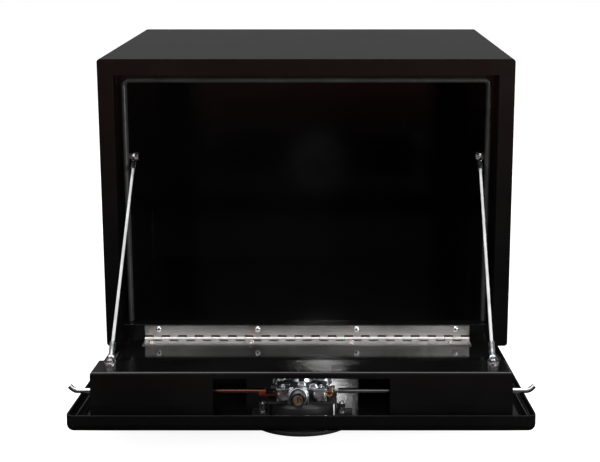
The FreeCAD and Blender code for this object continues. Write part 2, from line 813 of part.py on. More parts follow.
def rod(side):
    """One lock rod: a slotted yoke on the cam's pin, a straight bar and a bent tip."""
    bend = math.radians(rod_bend_angle)
    bend_start = channel_half + guide_collar + rod_travel + rod_stop_play
    arc_end = bend_start + rod_bend_radius * math.sin(bend)
    tail = rod_end - arc_end - rod_radius * math.sin(bend)
    start = door_point(side * rod_start, rod_height, rod_depth)
    corner = door_point(side * bend_start, rod_height, rod_depth)
    half_turn = bend / 2
    mid = corner + Vec(
        side * rod_bend_radius * math.sin(half_turn), rod_bend_radius * (1 - math.cos(half_turn)), 0
    )
    arc_to = corner + Vec(
        side * rod_bend_radius * math.sin(bend), rod_bend_radius * (1 - math.cos(bend)), 0
    )
    last = arc_to + Vec(side * tail, tail * math.tan(bend), 0)
    path = Part.Wire(
        [
            Part.makeLine(start, corner),
            Part.Arc(corner, mid, arc_to).toShape(),
            Part.makeLine(arc_to, last),
        ]
    )
    section = Part.Wire([Part.makeCircle(rod_radius, start, Vec(1, 0, 0))])
    bar = path.makePipeShell([section], True, False)
    swing = cam_pin_offset * (1 - math.cos(math.radians(latch_turn)))
    layer = left_yoke_v if side < 0 else right_yoke_v
    pin_side = 1 if side < 0 else -1
    pin_u = latch_height + pin_side * cam_pin_offset
    slot_ends = sorted((pin_u, pin_u - pin_side * swing))
    end_play = cam_pin_radius + yoke_end_slack
    slot_low = slot_ends[0] - end_play
    slot_high = slot_ends[1] + end_play
    slot_half = cam_pin_radius + yoke_slack
    edge = yoke_edge
    x0, x1 = sorted((-side * (slot_half + edge), side * (rod_start + yoke_tail)))
    top = layer + yoke_sheet
    head_low = slot_low - edge
    head_high = slot_high + edge
    if side < 0:
        plates = [door_box(x0, x1, head_low, head_high - yoke_slack, layer, top)]
    else:
        arm_end = rod_start - yoke_arm_inset
        arm_start = arm_end - yoke_arm
        arm_low = rod_height - yoke_arm_half
        arm_high = rod_height + yoke_arm_half
        plates = [
            door_box(x0, arm_end, head_low, head_high, layer, top),
            door_box(arm_start, arm_end, head_low, arm_high, layer, top),
            door_box(arm_start, x1, arm_low, arm_high, layer, top),
        ]
    slot = door_box(-slot_half, slot_half, slot_low, slot_high, layer - 1, top + 1)
    return fuse([bar] + plates).cut(slot)


def upper_eye(side):
    return Vec(side * upper_eye_x, upper_eye_y, upper_eye_height)


def lower_eye(side):
    """Where the open door holds the lower eye."""
    marker = Part.Vertex(door_point(side * lower_stud_half, lower_stud_height, lower_eye_v))
    return swing_open(marker).Point


def stay_eye(centre, axis, towards):
    """A flat eye, a neck and the ferrule that grips the cable."""
    axis = Vec(axis).normalize()
    towards = Vec(towards).normalize()
    start = centre - axis * (eye_sheet / 2)
    ring = Part.makeCylinder(eye_radius, eye_sheet, start, axis)
    flat = towards - axis * towards.dot(axis)
    flat.normalize()
    across = axis.cross(flat)
    half = ferrule_radius
    corners = [
        start + across * half,
        start + across * half + flat * (ferrule_start + 4),
        start - across * half + flat * (ferrule_start + 4),
        start - across * half,
    ]
    neck = Part.Face(Part.makePolygon(corners + corners[:1])).extrude(axis * eye_sheet)
    bent = rod_between(
        centre + flat * (ferrule_start + 2), centre + towards * (ferrule_start + 4), ferrule_radius * 0.75
    )
    grip_at = centre + towards * ferrule_start
    grip = Part.makeCylinder(ferrule_radius, ferrule_length, grip_at, towards)
    hole = Part.makeCylinder(eye_bore, 4 * eye_sheet, centre - axis * (2 * eye_sheet), axis)
    return fuse([ring, neck, bent, grip]).cut(hole)


def upper_eyes():
    pieces = []
    for side in (-1, 1):
        run = lower_eye(side) - upper_eye(side)
        pieces.append(stay_eye(upper_eye(side), Vec(1, 0, 0), run))
    return Part.makeCompound(pieces)


def lower_eyes():
    pieces = []
    turn = math.radians(door_open_angle)
    normal = Vec(0, math.cos(turn), math.sin(turn))
    for side in (-1, 1):
        run = upper_eye(side) - lower_eye(side)
        pieces.append(stay_eye(lower_eye(side), normal, run))
    return Part.makeCompound(pieces)


def stay_cable(side):
    """The wire rope between two ferrules, drawn tight by the open door."""
    high = upper_eye(side)
    low = lower_eye(side)
    along = (low - high).normalize()
    reach = ferrule_start + ferrule_length
    return rod_between(high + along * reach, low - along * reach, cable_radius)


def upper_stay_bolts():
    """A bolt through the frame's sleeve for each upper eye."""
    pieces = []
    for side in (-1, 1):
        inward = Vec(-side, 0, 0)
        seat = Vec(side * inner_half, upper_eye_y, upper_eye_height)
        spacer_height = upper_eye_offset - eye_sheet / 2 - eye_play
        spacer = hexagon(seat, inward, stay_head_across, spacer_height)
        head_at = seat + inward * (upper_eye_offset + eye_sheet / 2 + eye_play)
        head = hexagon(head_at, inward, stay_head_across, stay_head_height)
        outer = Vec(side * (inner_half + sheet), upper_eye_y, upper_eye_height)
        nut = hexagon(outer, Vec(side, 0, 0), stay_head_across, stay_nut_height)
        tip = outer + Vec(side * (stay_nut_height + 1.5), 0, 0)
        shank = rod_between(head_at + inward, tip, stay_bolt_radius)
        pieces.append(fuse([spacer, head, nut, shank]))
    return Part.makeCompound(pieces)


def lower_stay_studs():
    """A stud through the channel's crown for each lower eye."""
    pieces = []
    for side in (-1, 1):
        x = side * lower_stud_half
        seat = door_point(x, lower_stud_height, channel_depth)
        base = hexagon(seat, Vec(0, 1, 0), stay_head_across, stay_head_height)
        nut_at = door_point(x, lower_stud_height, lower_eye_v + eye_sheet / 2 + eye_play)
        nut = hexagon(nut_at, Vec(0, 1, 0), stay_head_across, stay_nut_height)
        under = door_point(x, lower_stud_height, channel_depth - channel_sheet)
        inner_nut = hexagon(under, Vec(0, -1, 0), stay_head_across, stay_nut_height)
        tail = under + Vec(0, -stay_nut_height - 1.0, 0)
        tip = nut_at + Vec(0, stay_nut_height + 2.5, 0)
        shank = rod_between(tail, tip, stay_bolt_radius)
        pieces.append(fuse([base, nut, inner_nut, shank]))
    return Part.makeCompound(pieces)


def build_cabinet():
    export("cabinet_wrap", cabinet_wrap())
    export("back_panel", back_panel())
    export("front_frame", front_frame())
    export("sill_rail", sill())
    export("door_seal", door_seal())
    export("hinge_leaf_cabinet", cabinet_leaf())
    export("hinge_pin", hinge_pin())
    export("hinge_rivets", cabinet_hinge_bolts())
    export("stay_bolts_upper", upper_stay_bolts())
    export("stay_eyes_upper", upper_eyes())
    export("stay_cable_left", stay_cable(-1))
    export("stay_cable_right", stay_cable(1))


def build_door():
    export_door("door_skin", door_skin())
    export_door("latch_channel", latch_channel())
    export_door("hinge_leaf_door", door_leaf())
    export_door("hinge_bolts_door", door_hinge_bolts())
    export_door("rod_guides", rod_guides())
    export_door("latch_dish", latch_dish())
    export_door("latch_bracket", latch_bracket())
    export_door("latch_studs", latch_studs())
    export_door("latch_housing", latch_housing())
    export_door("lock_barrel", lock_barrel())
    export_door("stay_studs_lower", lower_stay_studs())
    export("stay_eyes_lower", lower_eyes())


def build_latch():
    export_door("latch_spindle", spindle())
    export_door("latch_cam", cam())
    export_door("handle_pin", handle_pin())
    export_door("tee_handle", tee_handle())
    export_door("lock_plug", lock_plug())
    export_door("lock_rod_left", rod(-1))
    export_door("lock_rod_right", rod(1))


build_cabinet()
build_door()
build_latch()
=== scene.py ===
"""Looks for an underbody truck tool box: coated steel, brushed hinge, plated latch and stay cables."""
import json
import math

import bmesh
import bpy
from mathutils import Matrix, Vector


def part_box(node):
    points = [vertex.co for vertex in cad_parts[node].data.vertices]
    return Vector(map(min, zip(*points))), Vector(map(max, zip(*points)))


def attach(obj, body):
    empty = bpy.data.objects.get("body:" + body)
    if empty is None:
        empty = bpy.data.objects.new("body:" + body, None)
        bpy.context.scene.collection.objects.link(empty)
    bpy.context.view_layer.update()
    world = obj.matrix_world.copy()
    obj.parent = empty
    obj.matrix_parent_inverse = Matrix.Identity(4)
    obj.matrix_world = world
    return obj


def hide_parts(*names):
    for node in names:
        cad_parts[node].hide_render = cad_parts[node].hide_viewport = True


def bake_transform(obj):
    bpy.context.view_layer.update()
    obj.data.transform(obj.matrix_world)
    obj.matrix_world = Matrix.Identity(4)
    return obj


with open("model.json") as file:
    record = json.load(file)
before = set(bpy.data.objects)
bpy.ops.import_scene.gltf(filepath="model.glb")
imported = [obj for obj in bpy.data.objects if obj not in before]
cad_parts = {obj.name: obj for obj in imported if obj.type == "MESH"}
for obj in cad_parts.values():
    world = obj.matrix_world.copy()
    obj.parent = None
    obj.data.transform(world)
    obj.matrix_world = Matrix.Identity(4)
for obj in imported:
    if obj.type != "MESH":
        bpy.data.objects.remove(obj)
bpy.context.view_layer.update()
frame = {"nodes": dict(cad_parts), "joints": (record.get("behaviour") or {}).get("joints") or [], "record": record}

nodes = frame["nodes"]
record = frame["record"]

# Where the door hangs, read from the frame
hinge = next(j for j in frame["joints"] if j["name"] == "door_hinge")
hinge_at = Vector(hinge["pos_m"])
open_turn = math.radians(hinge["range_deg"][1])
cabinet_low, cabinet_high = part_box("cabinet_wrap")
front = cabinet_low.y
to_hinge = Matrix.Translation(hinge_at)
door_turn = to_hinge @ Matrix.Rotation(open_turn, 4, "X") @ to_hinge.inverted()

# Sizes of the metalwork, in metres
leaf_sheet = 0.0015
door_sheet = 0.002
door_leaf_width = 0.026
hinge_length = 0.4953
knuckle_half_pitch = 0.0127
knuckle_gap = 0.0005
knuckle_radius = 0.0032
notch_rise = 0.0054
bracket_half_height = 0.033
leg_foot_v = 0.0265
rod_v = 0.036
lock_x = -0.004
lock_v = 0.0345
merge_distance = 0.00001
knuckle_length = knuckle_half_pitch - knuckle_gap
knuckle_seam = math.radians(20)
knuckle_roll = math.radians(325)
hinge_nut_across = 0.0078
hinge_nut_height = 0.0029
lock_threads = 14
lock_thread_pitch = 0.0008
thread_root = 0.0084
thread_crest = 0.0088
cast_half = 0.030
cast_play = 0.004
cast_sheet = 0.004
cast_voxel = 0.0007
cast_top_v = rod_v + cast_play + cast_sheet
collar_half = 0.0128
collar_front = 0.0033
thread_foot = 0.0034
bridge_screw_places = ((-0.0225, -0.022), (0.0225, -0.022), (-0.0225, 0.022), (0.0225, 0.022))

# Turned parts, as radius and height
rivet_profile = (
    (0.0045, 0),
    (0.0045, 0.0006),
    (0.0042, 0.0009),
    (0.0039, 0.0016),
    (0.0032, 0.0023),
    (0.0020, 0.0027),
    (0.0008, 0.0028),
)
nut_washer_profile = ((0.0045, 0), (0.0045, 0.0005), (0.0043, 0.0007))
thread_patch_profile = ((0.0026, 0.0029), (0.0026, 0.0032), (0.0021, 0.0033))
screw_washer_profile = ((0.0046, 0), (0.0046, 0.0006), (0.0043, 0.0008))
screw_head_profile = ((0.0034, 0.0006), (0.0034, 0.0020), (0.0026, 0.0027), (0.0012, 0.0030))
bore_profile = ((0.0100, 0.0), (0.0100, 0.02))
rim_profile = (
    (0.0648, 0.0002),
    (0.0648, 0.0026),
    (0.0643, 0.0043),
    (0.0630, 0.0055),
    (0.0612, 0.0060),
    (0.0594, 0.0056),
    (0.0580, 0.0048),
    (0.0570, 0.0040),
    (0.0566, 0.0002),
)

# Where the latch turns, read from the frame
turn_joint = next(j for j in frame["joints"] if j["name"] == "handle_turn")
latch_u = (door_turn.inverted() @ Vector(turn_joint["pos_m"])).z - hinge_at.z

# Stay ropes
strands = 6
strand_radius = 0.00078
strand_offset = 0.00122
strand_lay = 0.028
strand_steps = 14

# Camera, fitted to the corners of the cabinet and door in the 600 x 462 frame
frame_width = 600
frame_height = 462
focal_px = 1131.0
camera_distance = 1.635
camera_x = 0.0311
camera_height = 0.640
camera_tilt = math.radians(10.52)
axis_px = Vector((327.5, 129.0))

# Studio
floor_own_white = 0.84
floor_gap = 0.0005
floor_glow_near = 1.2
floor_glow_far = 2.6
floor_glow_nearer = 0.6


# Materials

def new_material(name):
    """A bare material, its node tree and its shader."""
    material = bpy.data.materials.new(name)
    material.use_nodes = True
    tree = material.node_tree
    shader = tree.nodes["Principled BSDF"]
    return material, tree, shader


def add(tree, kind, **settings):
    """A new node, with values for its sockets or its own settings."""
    node = tree.nodes.new(kind)
    for key, value in settings.items():
        if key in node.inputs:
            node.inputs[key].default_value = value
        else:
            setattr(node, key, value)
    return node


def place(tree, stretch=(1, 1, 1)):
    """Object coordinates, stretched."""
    coordinates = add(tree, "ShaderNodeTexCoord")
    mapping = add(tree, "ShaderNodeMapping")
    mapping.inputs["Scale"].default_value = stretch
    tree.links.new(coordinates.outputs["Object"], mapping.inputs["Vector"])
    return mapping.outputs["Vector"]


def noise(tree, vector, scale, detail=3.0, roughness=0.55):
    texture = add(tree, "ShaderNodeTexNoise", Scale=scale, Detail=detail, Roughness=roughness)
    tree.links.new(vector, texture.inputs["Vector"])
    return texture.outputs["Fac"]


def spread(tree, value, low, high, from_low=0.3, from_high=0.7):
    """A value taken from one range to another."""
    ranged = add(tree, "ShaderNodeMapRange")
    ranged.inputs["From Min"].default_value = from_low
    ranged.inputs["From Max"].default_value = from_high
    ranged.inputs["To Min"].default_value = low
    ranged.inputs["To Max"].default_value = high
    tree.links.new(value, ranged.inputs["Value"])
    return ranged.outputs["Result"]


def two_tones(tree, value, dark, light, low=0.35, high=0.65):
    """A colour between two, by a value."""
    ramp = add(tree, "ShaderNodeValToRGB")
    ramp.color_ramp.elements[0].position = low
    ramp.color_ramp.elements[0].color = (*dark, 1)
    ramp.color_ramp.elements[1].position = high
    ramp.color_ramp.elements[1].color = (*light, 1)
    tree.links.new(value, ramp.inputs["Fac"])
    return ramp.outputs["Color"]


def bump(tree, shader, value, strength, distance):
    node = add(tree, "ShaderNodeBump", Strength=strength, Distance=distance)
    tree.links.new(value, node.inputs["Height"])
    tree.links.new(node.outputs["Normal"], shader.inputs["Normal"])
    return node


def coated_steel(name, dark, light, rough=(0.10, 0.17), ior=1.45):
    """Powder coat: faint orange peel, and rounded edges that catch the light."""
    material, tree, shader = new_material(name)
    vector = place(tree)
    cloud = noise(tree, vector, 7.0, 4.0)
    peel = noise(tree, vector, 900.0, 2.0)
    tone = two_tones(tree, cloud, dark, light)
    tree.links.new(tone, shader.inputs["Base Color"])
    tree.links.new(spread(tree, cloud, *rough), shader.inputs["Roughness"])
    rounded = add(tree, "ShaderNodeBevel", samples=4, Radius=0.0007)
    relief = bump(tree, shader, peel, 0.10, 0.0002)
    tree.links.new(rounded.outputs["Normal"], relief.inputs["Normal"])
    shader.inputs["IOR"].default_value = ior
    return material


def brushed_steel(name, dark, light):
    """Stainless strip with grain along the hinge."""
    material, tree, shader = new_material(name)
    streak = noise(tree, place(tree, (6, 700, 700)), 1.0, 5.0, 0.7)
    cloud = noise(tree, place(tree), 22.0, 3.0)
    tree.links.new(two_tones(tree, streak, dark, light, 0.3, 0.7), shader.inputs["Base Color"])
    tree.links.new(spread(tree, cloud, 0.28, 0.42), shader.inputs["Roughness"])
    bump(tree, shader, streak, 0.25, 0.0002)
    shader.inputs["Metallic"].default_value = 1.0
    return material


def plated(name, dark, light, rough=(0.16, 0.34), scale=160.0):
    """Zinc plate or tumbled casting: mottled, with a soft shine."""
    material, tree, shader = new_material(name)
    vector = place(tree)
    mottle = noise(tree, vector, scale, 4.0)
    fine = noise(tree, vector, scale * 6, 2.0)
    tree.links.new(two_tones(tree, mottle, dark, light), shader.inputs["Base Color"])
    tree.links.new(spread(tree, mottle, *rough), shader.inputs["Roughness"])
    rounded = add(tree, "ShaderNodeBevel", samples=4, Radius=0.0003)
    relief = bump(tree, shader, fine, 0.12, 0.0001)
    tree.links.new(rounded.outputs["Normal"], relief.inputs["Normal"])
    shader.inputs["Metallic"].default_value = 1.0
    return material


def rubber(name, dark, light, rough=(0.42, 0.6)):
    """Rubber, nylon or a clear plastic coat: fine grain over a slow mottle."""
    material, tree, shader = new_material(name)
    vector = place(tree)
    grain = noise(tree, vector, 500.0, 3.0)
    cloud = noise(tree, vector, 30.0, 3.0)
    tree.links.new(two_tones(tree, cloud, dark, light), shader.inputs["Base Color"])
    tree.links.new(spread(tree, grain, *rough), shader.inputs["Roughness"])
    bump(tree, shader, grain, 0.2, 0.0002)
    return material


def make_materials():
    """One finish for each material slot, and a few that single nodes have of their own."""
    black = (0.0026, 0.0025, 0.0025)
    black_light = (0.0043, 0.0042, 0.0041)
    inner = (0.0022, 0.0022, 0.0022)
    inner_light = (0.0036, 0.0035, 0.0035)
    satin = (0.012, 0.012, 0.012)
    satin_light = (0.02, 0.02, 0.02)
    cast = (0.50, 0.54, 0.57)
    cast_light = (0.84, 0.88, 0.90)
    return {
        "black_powder_coat": coated_steel("gloss_black_coat", black, black_light),
        "black_inner_coat": coated_steel("inner_black_coat", inner, inner_light),
        "dish_black": coated_steel("satin_black_press", satin, satin_light, (0.3, 0.42)),
        "seal_rubber": rubber("seal_rubber_black", (0.03, 0.03, 0.03), (0.05, 0.05, 0.05), (0.25, 0.4)),
        "guide_plastic": rubber("guide_nylon_black", satin, satin_light),
        "hinge_steel": brushed_steel("hinge_brushed_stainless", (0.50, 0.49, 0.475), (0.69, 0.68, 0.665)),
        "hinge_pin_steel": brushed_steel("pin_drawn_steel", (0.40, 0.40, 0.40), (0.56, 0.56, 0.56)),
        "zinc_plate": plated("bright_zinc_plate", (0.62, 0.64, 0.66), (0.86, 0.88, 0.90)),
        "cast_zinc": plated("tumbled_zinc_casting", cast, cast_light, (0.22, 0.42), 110.0),
        "lock_black": plated("dark_plated_barrel", (0.055, 0.055, 0.06), (0.12, 0.12, 0.13), (0.25, 0.4)),
        "brass": plated("turned_brass", (0.50, 0.36, 0.22), (0.78, 0.60, 0.40), (0.22, 0.4), 240.0),
        "door_gloss": coated_steel("door_gloss_coat", black, black_light, (0.05, 0.09), 1.42),
        # The left rod's coppery tint at its hub end is a painted reflection of warm light, not the plate's own
        # colour.
        "rod_painted_warm_reflection": drawn_rod("plated_rod_painted_warm_reflection", (0.70, 0.72, 0.74), (0.78, 0.33, 0.22)),
        "rod_bright": drawn_rod("bright_plated_rod", (0.62, 0.66, 0.70), (0.72, 0.76, 0.80)),
        "eye_zinc": plated("bright_eye_plate", (0.56, 0.58, 0.60), (0.80, 0.82, 0.84), (0.18, 0.32), 70.0),
        "thread_patch": rubber("thread_patch_orange", (0.62, 0.13, 0.03), (0.75, 0.2, 0.05)),
        "spring_bronze": plated("bronze_spring_wire", (0.42, 0.20, 0.11), (0.62, 0.36, 0.22), (0.2, 0.35)),
        "cable_coat": rubber("cable_clear_coat", (0.52, 0.53, 0.53), (0.66, 0.67, 0.66), (0.28, 0.42)),
    }


def drawn_rod(name, far, near):
    """Plated rod, drawn smooth, whose tint fades along its length from near to far; a warm near tint is a painted
    reflection of warm light.
    """
    material, tree, shader = new_material(name)
    grain = noise(tree, place(tree, (8, 500, 500)), 1.0, 3.0)
    coordinates = add(tree, "ShaderNodeTexCoord")
    axes = add(tree, "ShaderNodeSeparateXYZ")
    tree.links.new(coordinates.outputs["Object"], axes.inputs["Vector"])
    along = spread(tree, axes.outputs["X"], 0.0, 1.0, -0.16, -0.10)
    tree.links.new(two_tones(tree, along, far, near, 0.0, 1.0), shader.inputs["Base Color"])
    tree.links.new(spread(tree, grain, 0.14, 0.24), shader.inputs["Roughness"])
    shader.inputs["Metallic"].default_value = 1.0
    return material


def dress_nodes(finishes):
    """Each carried-over node takes the finish of its material slot, or one of its own."""
    own = {
        "door_skin": "door_gloss",
        # The left rod takes the painted warm reflection at its hub end.
        "lock_rod_left": "rod_painted_warm_reflection",
        "lock_rod_right": "rod_bright",
        "stay_eyes_upper": "eye_zinc",
        "stay_eyes_lower": "eye_zinc",
    }
    for part in record["subparts"]:
        node = nodes[part["node"]]
        node.data.materials.clear()
        node.data.materials.append(finishes[own.get(part["node"], part["material_slot"])])


# Pieces

def clear_selection():
    """Nothing selected, so that an operator acts on its own piece alone."""
    for item in bpy.context.selected_objects:
        item.select_set(False)


def activate(item):
    clear_selection()
    item.select_set(True)
    bpy.context.view_layer.objects.active = item


def finish_piece(item, name, material):
    """Name and dress a piece, and sink its place into its mesh."""
    activate(item)
    bpy.ops.object.transform_apply(location=True, rotation=True, scale=True)
    item.name = name
    item.data.name = name
    item.data.materials.clear()
    item.data.materials.append(material)


def cable_ends(side):
    """The ferrules' mouths on one side: the CAD cable's two ends."""
    node = nodes["stay_cable_left" if side < 0 else "stay_cable_right"]
    points = [vert.co for vert in node.data.vertices]
    high = max(p.y for p in points)
    low = min(p.y for p in points)
    middle = (high + low) / 2
    upper = [p for p in points if p.y > middle]
    lower = [p for p in points if p.y <= middle]
    return sum(upper, Vector()) / len(upper), sum(lower, Vector()) / len(lower)


def stay_cable(side, material):
    """A wire rope: a ring of strands, twisted along its length by a screw."""
    hand = "left" if side < 0 else "right"
    upper, lower = cable_ends(side)
    run = lower - upper
    length = run.length
    turns = length / strand_lay
    clear_selection()
    rings = []
    for k in range(strands):
        turn = 2 * math.pi * k / strands
        at = (strand_offset * math.cos(turn), strand_offset * math.sin(turn), 0)
        bpy.ops.mesh.primitive_circle_add(vertices=10, radius=strand_radius, location=at)
        rings.append(bpy.context.object)
    for ring in rings:
        ring.select_set(True)
    bpy.ops.object.join()
    rope = bpy.context.object
    bpy.ops.object.transform_apply(location=True, rotation=True, scale=True)
    bpy.context.scene.cursor.location = (0, 0, 0)
    bpy.ops.object.origin_set(type="ORIGIN_CURSOR")
    screw = rope.modifiers.new("lay", "SCREW")
    screw.axis = "Z"
    screw.angle = 2 * math.pi * turns
    screw.screw_offset = length
    screw.steps = int(turns * strand_steps)
    screw.render_steps = screw.steps
    screw.use_smooth_shade = True
    activate(rope)
    bpy.ops.object.modifier_apply(modifier="lay")
    bpy.ops.object.mode_set(mode="EDIT")
    bpy.ops.mesh.select_all(action="SELECT")
    bpy.ops.mesh.remove_doubles(threshold=merge_distance)
    bpy.ops.mesh.region_to_loop()
    bpy.ops.mesh.fill_holes(sides=12)
    bpy.ops.mesh.select_all(action="SELECT")
    bpy.ops.mesh.normals_make_consistent(inside=False)
    bpy.ops.object.mode_set(mode="OBJECT")
    rope.rotation_euler = run.to_track_quat("Z", "Y").to_euler()
    rope.location = upper
    finish_piece(rope, "stay_rope_" + hand, material)
    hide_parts("stay_cable_" + hand)
    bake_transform(rope)


# Mesh helpers

def door_frame(x, u, v, axis):
    """A matrix on the door whose Z runs along a closed-door axis, u above the hinge, v behind the front."""
    closed = Matrix.Translation((x, front + v, hinge_at.z + u))
    return door_turn @ closed @ Vector(axis).to_track_quat("Z", "Y").to_matrix().to_4x4()


def edit_all(item):
    """Open one mesh in edit mode with all of it selected."""
    activate(item)
    bpy.ops.object.mode_set(mode="EDIT")
    bpy.ops.mesh.select_all(action="SELECT")


def close_up():
    """Merge doubles, turn the faces out and leave edit mode."""
    bpy.ops.mesh.select_all(action="SELECT")
    bpy.ops.mesh.remove_doubles(threshold=merge_distance)
    bpy.ops.mesh.normals_make_consistent(inside=False)
    bpy.ops.object.mode_set(mode="OBJECT")


def turned(profile, place_at, steps=32, hollow=False):
    """A round part raised from a circle, level by level; a hollow one closes on its first level."""
    clear_selection()
    radius, height = profile[0]
    bpy.ops.mesh.primitive_circle_add(
        vertices=steps,
        radius=radius,
        fill_type="NOTHING" if hollow else "NGON",
        location=(0, 0, height),
        rotation=(0, 0, math.pi / 2),
    )
    item = bpy.context.object
    bpy.ops.object.transform_apply(location=True, rotation=True, scale=True)
    edit_all(item)
    for wider, higher in [*profile[1:], profile[0]] if hollow else profile[1:]:
        bpy.ops.mesh.extrude_region_move(TRANSFORM_OT_translate={"value": (0, 0, higher - height)})
        ratio = wider / radius
        bpy.ops.transform.resize(value=(ratio, ratio, 1), center_override=(0, 0, higher))
        radius, height = wider, higher
    close_up()
    item.matrix_world = place_at
    return item


def hexagon_nut(place_at, across, height, chamfer=0.0006):
    """A six-sided nut, chamfered at its outer end."""
    corner = across / math.sqrt(3)
    levels = [(corner, 0), (corner, height - chamfer), (corner - 1.6 * chamfer, height)]
    return turned(levels, place_at, 6)


def wire(points, radius):
    """A round wire along a line of points, closed at both ends."""
    line = bpy.data.curves.new("wire", "CURVE")
    line.dimensions = "3D"
    line.bevel_depth = radius
    line.bevel_resolution = 2
    line.use_fill_caps = True
    spline = line.splines.new("POLY")
    spline.points.add(len(points) - 1)
    for spot, point in zip(spline.points, points):
        spot.co = (*point, 1)
    item = bpy.data.objects.new("wire", line)
    bpy.context.scene.collection.objects.link(item)
    activate(item)
    bpy.ops.object.convert(target="MESH")
    item = bpy.context.object
    edit_all(item)
    close_up()
    return item


def joined(parts):
    """Several meshes made one, with their places in it."""
    clear_selection()
    for part in parts:
        part.select_set(True)
    bpy.context.view_layer.objects.active = parts[0]
    if len(parts) > 1:
        bpy.ops.object.join()
    bpy.ops.object.transform_apply(location=True, rotation=True, scale=True)
    return bpy.context.object


def piece(name, parts, material, body, smooth_angle=35):
    """A named mesh that rides on a body and takes its finish from a slot."""
    item = joined(parts)
    finish_piece(item, name, material)
    bpy.ops.object.shade_smooth_by_angle(angle=math.radians(smooth_angle))
    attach(item, body)
    return item


# Hinge

def knuckle_starts(odd):
    """The left ends of one leaf's knuckles."""
    count = round(hinge_length / knuckle_half_pitch)
    first = (knuckle_gap - count * knuckle_half_pitch) / 2
    return [first + k * knuckle_half_pitch for k in range(odd, count, 2)]


def rolled_knuckle():
    """A knuckle spun from the sheet's section, open along its seam."""
    clear_selection()
    bpy.ops.mesh.primitive_plane_add(size=1)
    knuckle = bpy.context.object
    middle = knuckle_radius - leaf_sheet / 2
    turn = Matrix.Rotation(knuckle_seam, 4, "X")
    size = Vector((knuckle_length, leaf_sheet, 1))
    knuckle.matrix_world = turn @ Matrix.LocRotScale(Vector((knuckle_length / 2, middle, 0)), None, size)
    bpy.ops.object.transform_apply(location=True, rotation=True, scale=True)
    edit_all(knuckle)
    bpy.ops.mesh.spin(steps=20, angle=-knuckle_roll, center=(0, 0, 0), axis=(1, 0, 0))
    close_up()
    return knuckle


def hinge_leaf(name, node, odd, near_y, height, to_place, body, material):
    """A leaf cut from strip, notched for the other leaf's knuckles, with its own knuckles rolled."""
    starts = knuckle_starts(odd)
    foot = hinge_at.z
    notch = foot + notch_rise
    clear_selection()
    middle = (0, near_y, foot + height / 2)
    bpy.ops.mesh.primitive_plane_add(size=1, location=middle, rotation=(math.pi / 2, 0, 0))
    strip = bpy.context.object
    strip.scale = (hinge_length, height, 1)
    bpy.ops.object.transform_apply(location=True, rotation=True, scale=True)
    edit_all(strip)
    bpy.ops.mesh.bisect(plane_co=(0, near_y, notch), plane_no=(0, 0, 1))
    for x in starts:
        for cut in (x, x + knuckle_length):
            bpy.ops.mesh.select_all(action="SELECT")
            bpy.ops.mesh.bisect(plane_co=(cut, near_y, notch), plane_no=(1, 0, 0))
    bpy.ops.mesh.select_mode(type="FACE")
    bpy.ops.mesh.select_all(action="DESELECT")
    bpy.ops.object.mode_set(mode="OBJECT")
    for face in strip.data.polygons:
        in_notch = not any(x < face.center.x < x + knuckle_length for x in starts)
        face.select = face.center.z < notch and in_notch
    bpy.ops.object.mode_set(mode="EDIT")
    bpy.ops.mesh.delete(type="FACE")
    bpy.ops.mesh.select_mode(type="VERT")
    bpy.ops.mesh.select_all(action="SELECT")
    bpy.ops.mesh.extrude_region_move(TRANSFORM_OT_translate={"value": (0, leaf_sheet, 0)})
    close_up()
    knuckle = rolled_knuckle()
    parts = [strip, knuckle]
    for x in starts[1:]:
        activate(knuckle)
        bpy.ops.object.duplicate()
        copy = bpy.context.object
        copy.location = (x, hinge_at.y, foot)
        parts.append(copy)
    knuckle.location = (starts[0], hinge_at.y, foot)
    leaf = joined(parts)
    leaf.matrix_world = to_place
    piece(name, [leaf], material, body)
    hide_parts(node)


def hinge_leaves(finishes):
    """The cabinet's leaf stands behind the knuckles, and the door's leaf lies on its skin."""
    steel = finishes["hinge_steel"]
    upper_y = hinge_at.y + knuckle_radius - leaf_sheet
    upper_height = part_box("hinge_leaf_cabinet")[1].z - hinge_at.z
    lower_y = front + door_sheet
    still = Matrix.Identity(4)
    hinge_leaf("hinge_upper_leaf", "hinge_leaf_cabinet", 1, upper_y, upper_height, still, "cabinet", steel)
    hinge_leaf("hinge_lower_leaf", "hinge_leaf_door", 0, lower_y, door_leaf_width, door_turn, "door", steel)


def hinge_fasteners(finishes):
    """Domed rivets along the upper leaf, and nuts with washers and thread patches on the door's leaf."""
    zinc = finishes["zinc_plate"]
    face = hinge_at.y + knuckle_radius - leaf_sheet
    forward = Vector((0, -1, 0)).to_track_quat("Z", "Y").to_matrix().to_4x4()
    for k, (low, high) in enumerate(solid_boxes("hinge_rivets")):
        middle = (low + high) / 2
        at = Matrix.Translation((middle.x, face, middle.z)) @ forward
        piece("rivet_dome_%d" % (k + 1), [turned(rivet_profile, at)], zinc, "cabinet")
    for k, (low, high) in enumerate(solid_boxes("hinge_bolts_door")):
        middle = (low + high) / 2
        at = door_frame(middle.x, door_leaf_width / 2, door_sheet + leaf_sheet, (0, 1, 0))
        nut = [turned(nut_washer_profile, at), hexagon_nut(at, hinge_nut_across, hinge_nut_height)]
        piece("door_nut_%d" % (k + 1), nut, zinc, "door")
        patch = [turned(thread_patch_profile, at, 16)]
        piece("thread_patch_%d" % (k + 1), patch, finishes["thread_patch"], "door")


